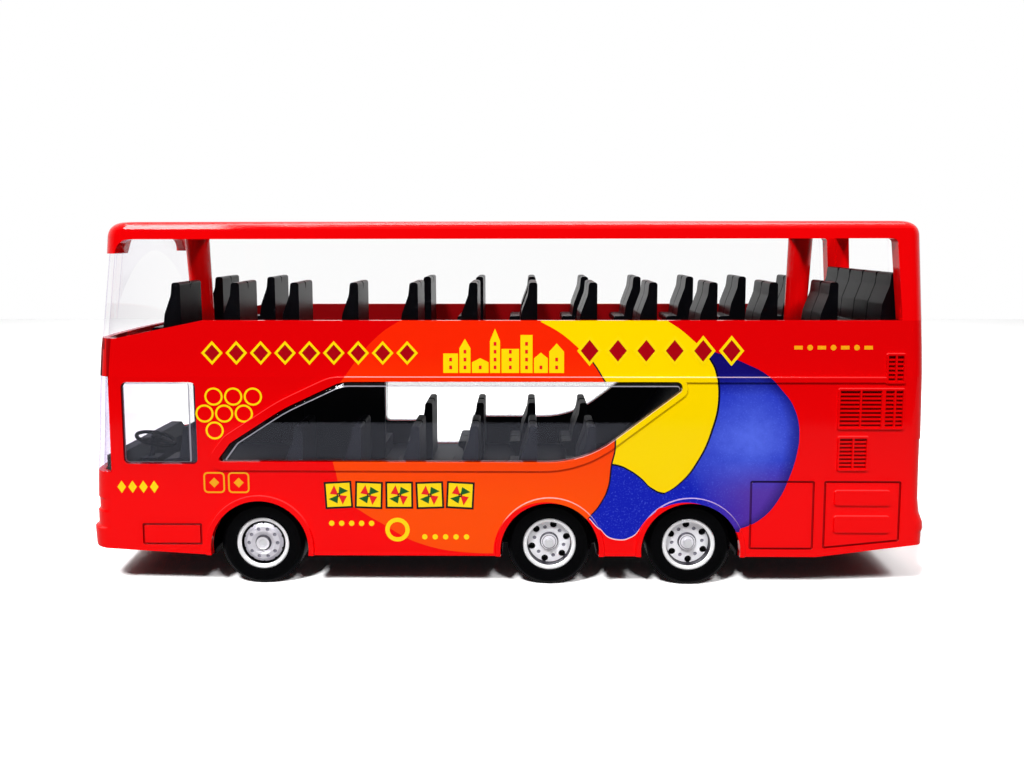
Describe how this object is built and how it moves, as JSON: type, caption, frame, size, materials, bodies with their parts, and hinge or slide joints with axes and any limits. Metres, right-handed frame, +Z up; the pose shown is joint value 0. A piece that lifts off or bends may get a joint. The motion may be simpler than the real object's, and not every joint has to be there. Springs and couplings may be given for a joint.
{
  "type": "toy double-decker bus",
  "caption": "Toy open-top double-decker bus: hollow die-cast body, clear windows, two decks of seats, roof frame, and wheels that roll on steel axles.",
  "frame": {"origin": "on the ground below the middle of the bus", "axes": "+X to the rear of the bus, +Y to its right side, +Z up"},
  "size_m": [0.1864, 0.0504, 0.0807],
  "materials": {
    "red_paint": "gloss enamel on die-cast zinc",
    "red_plastic": "moulded in red, gloss",
    "clear_plastic": "clear moulded polystyrene",
    "black_plastic": "moulded in black, satin",
    "grey_plastic": "moulded in dark grey, satin",
    "base_plastic": "moulded in black, matt",
    "lamp_clear": "clear moulded lens",
    "lamp_red": "moulded red lens",
    "silver_plastic": "silver painted plastic",
    "steel": "bare steel pin",
    "tyre": "soft black plastic, satin"
  },
  "bodies": {
    "body": {"body_shell": "red_paint", "roof_frame": "red_plastic", "roof_posts": "red_plastic", "upper_glazing": "clear_plastic", "windscreen": "clear_plastic", "left_window": "clear_plastic", "right_window": "clear_plastic", "driver_window": "clear_plastic", "door_window": "clear_plastic", "upper_deck": "black_plastic", "upper_seats_left": "black_plastic", "upper_seats_right": "black_plastic", "upper_rear_bench": "black_plastic", "lower_deck": "grey_plastic", "lower_seats_left": "grey_plastic", "lower_seats_right": "grey_plastic", "staircase": "grey_plastic", "dashboard": "grey_plastic", "steering_wheel": "black_plastic", "driver_seat": "grey_plastic", "chassis": "base_plastic", "head_lamps": "lamp_clear", "tail_lamps": "lamp_red"},
    "front_wheels": {"front_axle": "steel", "front_rims": "silver_plastic", "front_tyres": "tyre"},
    "middle_wheels": {"middle_axle": "steel", "middle_rims": "silver_plastic", "middle_tyres": "tyre"},
    "rear_wheels": {"rear_axle": "steel", "rear_rims": "silver_plastic", "rear_tyres": "tyre"}
  },
  "joints": [
    {"name": "front_wheels_roll", "type": "hinge", "parent": "body", "child": "front_wheels", "pos_m": [-0.0539, 0, 0.00926], "axis": [0, 1, 0], "continuous": true},
    {"name": "middle_wheels_roll", "type": "hinge", "parent": "body", "child": "middle_wheels", "pos_m": [0.0101, 0, 0.00926], "axis": [0, 1, 0], "continuous": true},
    {"name": "rear_wheels_roll", "type": "hinge", "parent": "body", "child": "rear_wheels", "pos_m": [0.041, 0, 0.00926], "axis": [0, 1, 0], "continuous": true}
  ]
}
